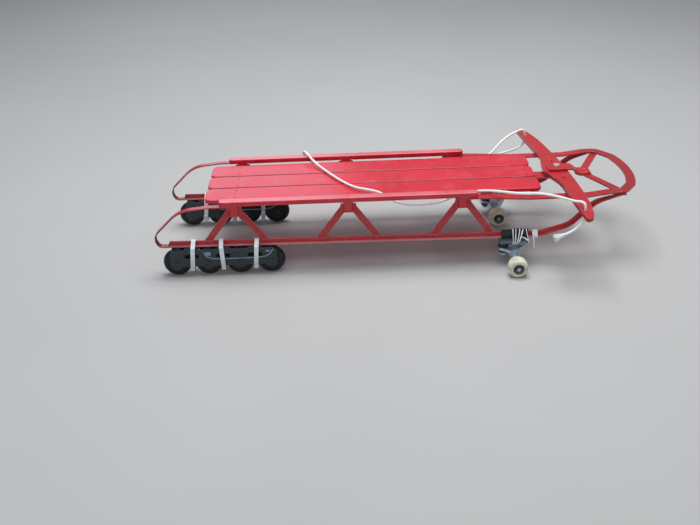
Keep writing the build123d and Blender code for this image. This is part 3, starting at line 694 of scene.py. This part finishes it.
def add_truck_details():
    nuts = bmesh.new()
    for side, sign in SIDES.items():
        for place, way in (("outer", 1), ("inner", -1)):
            node = "truck_wheel_" + place + "_" + side
            low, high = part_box(node)
            centre = middle(node)
            half = (high[1] - low[1]) / 2
            bearings = bmesh.new()
            for face in (-1, 1):
                seat = (centre.x, centre.y + face * (half - WHEEL_RECESS), centre.z)
                rim = (centre.x, centre.y + face * half, centre.z)
                lathe(bearings, seat, (0, face, 0), scaled(RACE), RACE_SIDES)
                lathe(bearings, rim, (0, face, 0), scaled(RECESS_RING), RECESS_RING_SIDES)
            form_piece(bearings, "bearings_" + place + "_" + side, node + "_body", "grey_hub")
            end = sign * way
            nut = (centre.x, centre.y + end * (half - WHEEL_RECESS + NUT_OUT), centre.z)
            lathe(nuts, nut, (0, end, 0), scaled(AXLE_NUT), NUT_SIDES)
        base = middle("truck_base_" + side)
        base_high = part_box("truck_base_" + side)[1]
        plate_x = base_high[0] - PLATE_MIDDLE_BACK
        for a, b in CORNERS:
            hole = (plate_x + a * HOLE_STEP_X, base.y + b * HOLE_STEP_Y, base_high[2])
            lathe(nuts, hole, UP, scaled(PLATE_HOLE))
    form_piece(nuts, "truck_nuts", "frame", "bright_steel", material=GRIMY_STEEL)


# Wires that tie the trucks to the runners, each loop's foot and top in millimetres from the axle
WIRE_RADIUS = 1.55 * MM
WIRE_SIDES = 10
WIRE_BEND = 4 * MM
WIRE_FEET = (-6.0, -2.2, 1.6, 5.4, 35.0)
WIRE_TOPS = (-3.0, 5.0, 15.0, 23.0, 31.0)
WIRE_FOOT_UP = 1.9 * MM
WIRE_TOP_DOWN = 1.7 * MM
WIRE_TOP_HALF = 5.5 * MM
WIRE_SIDE_IN = 1.5 * MM
WIRE_SHOULDER_UP = 2.5 * MM

# Their two ends, twisted together: the twist's start, its pitch and how each step goes on
TWIST_START = (17 * MM, -6 * MM, 5 * MM)
TWIST_POINTS = 25
TWIST_TURN = 0.75
TWIST_RADIUS = 1.2 * MM
TWIST_STEP = (0.55 * MM, 0.35 * MM, 0.05 * MM)
TWIST_LIFT = 2 * MM
TWIST_DROP = 0.012 * MM
TWIST_THINNER = 0.85


def add_wire_loops(form, side, half, shoulder_z):
    low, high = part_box("truck_wires_" + side)
    mid_y = middle("truck_wires_" + side).y
    axle_x = middle("truck_wheel_outer_" + side).x
    foot_z = low[2] + WIRE_FOOT_UP
    top_z = high[2] - WIRE_TOP_DOWN
    section = [
        (-WIRE_TOP_HALF, top_z), (WIRE_TOP_HALF, top_z), (half, shoulder_z),
        (half, foot_z), (-half, foot_z), (-half, shoulder_z),
    ]
    for foot, top in zip(WIRE_FEET, WIRE_TOPS):
        loop = []
        for y, z in section:
            share = (z - foot_z) / (top_z - foot_z)
            loop.append(Vector((axle_x + (foot + share * (top - foot)) * MM, mid_y + y, z)))
        line = soften(loop, WIRE_BEND, closed=True)
        tube(form, line, [WIRE_RADIUS] * len(line), WIRE_SIDES, closed=True)


def add_wire_twist(form, side, half, shoulder_z):
    # bent down on the outer side
    outward = SIDES[side]
    ahead, out, up = TWIST_START
    start = Vector((
        middle("truck_wheel_outer_" + side).x + ahead,
        middle("truck_wires_" + side).y + outward * (half + out),
        shoulder_z + up,
    ))
    for phase in (0, pi):
        strand = []
        for n in range(TWIST_POINTS):
            angle = phase + n * TWIST_TURN
            strand.append(start + Vector((
                n * TWIST_STEP[0] + cos(angle) * TWIST_RADIUS,
                outward * (n * TWIST_STEP[1] + sin(angle) * TWIST_RADIUS),
                TWIST_LIFT + n * TWIST_STEP[2] - n * n * TWIST_DROP,
            )))
        tube(form, strand, [WIRE_RADIUS * TWIST_THINNER] * len(strand))


def add_truck_wires():
    for side in SIDES:
        form = bmesh.new()
        low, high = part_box("truck_wires_" + side)
        half = (high[1] - low[1]) / 2 - WIRE_SIDE_IN
        shoulder_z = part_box("truck_base_" + side)[1][2] + WIRE_SHOULDER_UP
        add_wire_loops(form, side, half, shoulder_z)
        add_wire_twist(form, side, half, shoulder_z)
        wires = form_piece(form, "wire_ties_" + side, "frame", "bright_steel")
        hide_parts("truck_wires_" + side)


# Straps: the heads they are pulled through, and their tails
BLOCK_LEVELS = ((-1, 0.92), (-0.7, 1.0), (0.5, 1.0), (1, 0.8))
STRAP_XS = (-529.8 * MM, -451.6 * MM, -368.0 * MM)
STRAP_HEAD = (12 * MM, 5.2 * MM, 9 * MM)
STRAP_HEAD_Z = 34 * MM
STRAP_HEAD_OUT = 0.5 * MM
STRAP_HEAD_DEPTH = 2.6 * MM
STRAP_TAIL_WIDTH = 8.5 * MM
STRAP_TAIL_DEPTH = 2.8 * MM
STRAP_TAIL_LEAN = 0.05 * MM
STRAP_TAIL_DOWN = 4 * MM
STRAP_TAIL_STEP = 2.2 * MM
STRAP_TAIL_POINTS = 6
TAIL_THICK = 1.1 * MM

# The front tie's head, and its thin end that hangs down beside the runner
TIE_X = 340 * MM
TIE_OUT = 155.6 * MM
TIE_HEAD = (6 * MM, 4 * MM, 6 * MM)
TIE_HEAD_OUT = 155.8 * MM
TIE_HEAD_Z = 76.5 * MM
TIE_TAIL_Z = 75 * MM
TIE_TAIL_WIDTH = 3.2 * MM
TIE_TAIL_STEP = 3.1 * MM
TIE_TAIL_POINTS = 12
TIE_TAIL_SWEEP = 0.02 * MM
TIE_TAIL_SPLAY = 0.9 * MM
TIE_TAIL_HANG = 0.045 * MM


def add_block(form, centre, size):
    # a small moulded block, narrower at its top
    x, y, z = (s / 2 for s in size)
    rings = []
    for level, share in BLOCK_LEVELS:
        rings.append([
            form.verts.new(Vector(centre) + Vector((a * x * share, b * y * share, level * z)))
            for a, b in CORNERS
        ])
    skin(form, rings)


def add_strap_heads():
    form = bmesh.new()
    for side, sign in SIDES.items():
        low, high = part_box("straps_" + side)
        inner = low[1] if sign > 0 else high[1]
        for x in STRAP_XS:
            head = Vector((x, inner + sign * STRAP_HEAD_OUT, STRAP_HEAD_Z))
            add_block(form, head - Vector((0, sign * STRAP_HEAD_DEPTH, 0)), STRAP_HEAD)
            tail = []
            for n in range(STRAP_TAIL_POINTS):
                depth = STRAP_TAIL_DEPTH + n * n * STRAP_TAIL_LEAN
                down = STRAP_TAIL_DOWN + n * STRAP_TAIL_STEP
                tail.append(head - Vector((0, sign * depth, down)))
            ribbon(form, tail, STRAP_TAIL_WIDTH, TAIL_THICK)
        tail = []
        for n in range(TIE_TAIL_POINTS):
            out = TIE_OUT + n * TIE_TAIL_SPLAY - n * n * TIE_TAIL_HANG
            tail.append(Vector((
                TIE_X + n * n * TIE_TAIL_SWEEP, sign * out, TIE_TAIL_Z - n * TIE_TAIL_STEP,
            )))
        ribbon(form, tail, TIE_TAIL_WIDTH, TAIL_THICK)
        add_block(form, (TIE_X, sign * TIE_HEAD_OUT, TIE_HEAD_Z), TIE_HEAD)
    form_piece(form, "strap_ends", "frame", "white_strap", smooth=False)


# Rope, with its route in millimetres from one hole of the steering bar to the other
ROPE_RADIUS = 3.5 * MM
STEER_ANGLE = radians(4.8)
PIVOT_X = 424
HOLE_AHEAD = -11.5
HOLE_OUT = 256
HOLE_Z = 193


def bar_point(ahead, out, z):
    return (
        PIVOT_X + ahead * cos(STEER_ANGLE) - out * sin(STEER_ANGLE),
        ahead * sin(STEER_ANGLE) + out * cos(STEER_ANGLE),
        z,
    )


RIGHT_HOLE = bar_point(HOLE_AHEAD, -HOLE_OUT, HOLE_Z)
LEFT_HOLE = bar_point(HOLE_AHEAD, HOLE_OUT, HOLE_Z)
ROPE_ROUTE = [
    RIGHT_HOLE,
    (RIGHT_HOLE[0], RIGHT_HOLE[1], 206.2),
    (427.2, -243.6, 208.4),
    (416, -231.5, 203.5),
    (403, -214.5, 201.5),
    (386, -197, 200.5),
    (366, -180.5, 200),
    (340, -167.5, 199.3),
    (302, -165.5, 198.5),
    (262, -150, 198),
    (228, -132, 195.5),
    (199, -121.2, 190.5),
    (170, -119.6, 187),
    (145, -119.4, 185),
    (124, -123, 173.5),
    (98, -130, 166.5),
    (62, -133.5, 163.5),
    (26, -132, 164),
    (-6, -126, 170),
    (-32, -120, 185),
    (-50, -116, 196),
    (-74, -105, 198.5),
    (-106, -84, 195.5),
    (-138, -42, 194.5),
    (-166, 6, 194.5),
    (-192, 54, 194.5),
    (-216, 98, 198),
    (-232, 128, 208),
    (-243, 154, 208),
    (-246, 173, 190),
    (-228, 175, 166),
    (-178, 172, 152),
    (-112, 171, 142),
    (-32, 171, 138),
    (52, 171, 140),
    (136, 171, 146),
    (206, 171, 156),
    (250, 171.5, 160),
    (279, 174, 168),
    (297, 186, 182),
    (313, 202, 192),
    (331, 220, 198),
    (351, 237, 202),
    (364, 245, 204.5),
    (377.6, 252.2, 208.4),
    (LEFT_HOLE[0], LEFT_HOLE[1], 206.2),
    LEFT_HOLE,
]

# Knots under the bar, and the tails' routes as steps from each knot's lower end
KNOT_LOW_Z = 177.5
KNOT_MIDDLE_Z = 183.6
RIGHT_TAIL_STEPS = [
    (0, 0, 0), (0, 0, -8.5), (-4, -0.7, -17.5), (-11.5, -2, -27),
    (-21, -3, -35.5), (-33, -4, -42.5), (-48, -5.5, -48), (-68, -8, -53),
]
LEFT_TAIL_STEPS = [
    (0, 0, 0), (0, 0, -8), (-4, -1, -15.5), (-13.5, -3, -22),
    (-28, -6, -27), (-47, -9, -31.5), (-72, -13, -36),
]


def tail_route(hole, steps):
    return [(hole[0] + dx, hole[1] + dy, KNOT_LOW_Z + dz) for dx, dy, dz in steps]


def smooth_line(name, route):
    # the route's NURBS spline, read back as points
    data = bpy.data.curves.new(name + "_line", "CURVE")
    data.dimensions = "3D"
    spline = data.splines.new("NURBS")
    spline.points.add(len(route) - 1)
    for point, place in zip(spline.points, route):
        point.co = (*(c / 1000 for c in place), 1)
    spline.order_u = 3
    spline.use_endpoint_u = True
    data.resolution_u = 16
    holder = bpy.data.objects.new(name + "_line", data)
    bpy.context.scene.collection.objects.link(holder)
    bpy.context.view_layer.update()
    mesh = bpy.data.meshes.new_from_object(holder)
    points = [v.co.copy() for v in mesh.vertices]
    bpy.data.objects.remove(holder)
    bpy.data.meshes.remove(mesh)
    return points


def even_points(points, step):
    # the same line at an even step, and its length
    lengths = [0.0]
    for a, b in zip(points, points[1:]):
        lengths.append(lengths[-1] + (b - a).length)
    count = max(2, round(lengths[-1] / step))
    result = []
    segment = 0
    for n in range(count + 1):
        wanted = lengths[-1] * n / count
        while segment < len(points) - 2 and lengths[segment + 1] < wanted:
            segment += 1
        run = lengths[segment + 1] - lengths[segment]
        share = (wanted - lengths[segment]) / run if run else 0
        result.append(points[segment].lerp(points[segment + 1], min(1, share)))
    return result, lengths[-1]


BRAID_PITCH = 11 * MM
BRAID_STRANDS = 6
BRAID_DEPTH = 0.35 * MM
ROPE_STEP = 1.1 * MM
ROPE_SIDES = 20


def braid_relief(angle, n):
    # hollows between strands that wind both ways round
    turn = 2 * pi * n * ROPE_STEP / BRAID_PITCH
    one = sin(BRAID_STRANDS / 2 * angle + turn)
    other = sin(BRAID_STRANDS / 2 * angle - turn)
    return BRAID_DEPTH * (abs(one) * abs(other) * 2 - 2)


def braided_mesh(name, points, radius):
    line, length = even_points(points, ROPE_STEP)
    form = bmesh.new()
    tube(form, line, [radius] * len(line), ROPE_SIDES, relief=braid_relief)
    return to_mesh(form, name), line, length


KNOT_POINTS = 90
KNOT_REACH = 1.5
KNOT_HEIGHT = 2.6
KNOT_SIDES = 14
KNOT_THINNER = 0.3 * MM
KNOT_SWELL = 0.05
KNOT_SWELL_TURN = 2.4
STEM_THINNER = 0.05 * MM
STEM_SIDES = 16
STEM_STEPS = 6
STEM_PAST = 0.2
STUB_STEPS = 4
STUB_PAST = 0.3


def add_knot(name, hole, radius):
    # an overhand knot drawn up against the bar, with its cord rising through the hole
    form = bmesh.new()
    centre = Vector((hole[0], hole[1], KNOT_MIDDLE_Z)) * MM
    line = []
    for n in range(KNOT_POINTS):
        t = 2 * pi * n / KNOT_POINTS
        line.append(centre + MM * Vector((
            (sin(t) + 2 * sin(2 * t)) * KNOT_REACH,
            (cos(t) - 2 * cos(2 * t)) * KNOT_REACH,
            -sin(3 * t) * KNOT_HEIGHT,
        )))
    thin = radius - KNOT_THINNER
    radii = [thin * (1 + KNOT_SWELL * sin(n * KNOT_SWELL_TURN)) for n in range(len(line))]
    tube(form, line, radii, KNOT_SIDES, closed=True)
    for end_z, steps in ((hole[2] + STEM_PAST, STEM_STEPS), (KNOT_LOW_Z - STUB_PAST, STUB_STEPS)):
        end = Vector((hole[0], hole[1], end_z)) * MM
        stem = [centre.lerp(end, n / steps) for n in range(steps + 1)]
        tube(form, stem, [radius - STEM_THINNER] * len(stem), STEM_SIDES)
    return form_piece(form, name, "steering", "white_rope")


YARNS = 84
YARN_STEPS = 8
YARN_SIDES = 5
YARN_RADIUS = 1.05 * MM
YARN_TAPER = 0.35 * MM
YARN_CORE_IN = 1.1 * MM
YARN_SAG = 1.5 * MM
YARN_SPREAD = (0.35, 1.0)
FRAY_OPENING = 1.4
FRAY_SEED = 7
# how far back each frayed end begins, how far it goes past the cut and how far it spreads
FRAYS = {"right": (26 * MM, 3 * MM, 8.0 * MM), "left": (8 * MM, 3 * MM, 1.4 * MM)}


def add_frayed_end(name, points, back, past, spread):
    # the braid has come open near the cut, and its yarns fan out round the core
    chance = random.Random(FRAY_SEED)
    stem = points[len(points) - 1 - round(back / ROPE_STEP):]
    last = len(stem) - 1
    ahead = (points[-1] - points[-4]).normalized()
    side = ahead.orthogonal().normalized()
    other = ahead.cross(side)
    form = bmesh.new()
    for _ in range(YARNS):
        angle = chance.uniform(0, 2 * pi)
        out = side * cos(angle) + other * sin(angle)
        fan = spread * chance.uniform(*YARN_SPREAD)
        reach = past * chance.uniform(0.0, 1.0)
        line = []
        radii = []
        for k in range(YARN_STEPS + 1):
            t = k / YARN_STEPS
            place = stem[min(last, round(t * last))].copy()
            place += ahead * reach * t * t
            place += out * (ROPE_RADIUS - YARN_CORE_IN + fan * t ** FRAY_OPENING)
            place.z -= YARN_SAG * t * t
            line.append(place)
            radii.append(YARN_RADIUS - YARN_TAPER * t)
        tube(form, line, radii, YARN_SIDES)
    return form_piece(form, name, "steering", "white_rope")


def add_rope():
    points = smooth_line("rope", ROPE_ROUTE)
    mesh, line, length = braided_mesh("tow_rope", points, ROPE_RADIUS)
    rope = add_piece("tow_rope", mesh, None, "white_rope")
    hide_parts("rope")
    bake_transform(rope)


def add_rope_ends():
    for side, hole, steps in (
        ("right", RIGHT_HOLE, RIGHT_TAIL_STEPS),
        ("left", LEFT_HOLE, LEFT_TAIL_STEPS),
    ):
        knot = add_knot("rope_knot_form_" + side, hole, ROPE_RADIUS)
        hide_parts("rope_knot_" + side)
        route = tail_route(hole, steps)
        points = smooth_line("tail_" + side, route)
        name = "rope_end_" + side
        mesh, line, length = braided_mesh(name, points, ROPE_RADIUS)
        tail = add_piece(name, mesh, "steering", "white_rope")
        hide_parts("rope_tail_" + side)
        brush = add_frayed_end("rope_fray_" + side, line, *FRAYS[side])


# Studio: floor, world and lights that look at the deck
FLOOR_REACH = 14.0
FLOOR_PALE = (0.48, 0.48, 0.48)
FLOOR_DARK = (0.4608, 0.4608, 0.4608)
WORLD_TONE = (0.93, 0.96, 1.0, 1)
WORLD_STRENGTH = 0.30
LIT_POINT = Vector((0, 0, 0.1))
# name, place, size, power and tone
LIGHTS = [
    ("sky_panel", (0.1, 0.3, 3.2), (2.2, 1.8), 105, (1, 1, 1)),
    ("front_fill", (-0.8, -3.2, 2.4), (3.0, 2.0), 22, (0.86, 0.94, 1.0)),
    ("back_sheen", (-0.9, 3.5, 1.7), (1.5, 1.2), 9.5, (0.66, 0.82, 1.0)),
]


def add_area_light(name, place, size, power, tone):
    data = bpy.data.lights.new(name, "AREA")
    data.shape = "RECTANGLE"
    data.size, data.size_y = size
    data.energy = power
    data.color = tone
    light = bpy.data.objects.new(name, data)
    light.location = place
    light.rotation_euler = (LIT_POINT - Vector(place)).to_track_quat("-Z", "Y").to_euler()
    bpy.context.scene.collection.objects.link(light)


def add_floor():
    mesh = bpy.data.meshes.new("studio_floor")
    corners = [(a * FLOOR_REACH, b * FLOOR_REACH, 0) for a, b in CORNERS]
    mesh.from_pydata(corners, [], [(0, 1, 2, 3)])
    floor = bpy.data.objects.new("studio_floor", mesh)
    bpy.context.scene.collection.objects.link(floor)
    finish = Finish("studio_floor", FLOOR_DARK)
    finish.cover(finish.patches(1.5, 2.0, (0.0, 1.0), CLOUD_BAND), FLOOR_PALE)
    mesh.materials.append(finish.close(0.9, Specular_IOR_Level=0.1))


def add_studio():
    add_floor()
    world = bpy.data.worlds.new("studio")
    world.use_nodes = True
    background = world.node_tree.nodes["Background"]
    background.inputs["Color"].default_value = WORLD_TONE
    background.inputs["Strength"].default_value = WORLD_STRENGTH
    bpy.context.scene.world = world
    for row in LIGHTS:
        add_area_light(*row)


add_camera()
add_studio()
dress_nodes()
add_deck_screws()
add_steel_rivets()
add_skate_ridges()
add_skate_bolts()
add_truck_details()
add_truck_wires()
add_strap_heads()
add_rope()
add_rope_ends()

bpy.context.scene.view_settings.view_transform = "Standard"
bpy.context.view_layer.update()
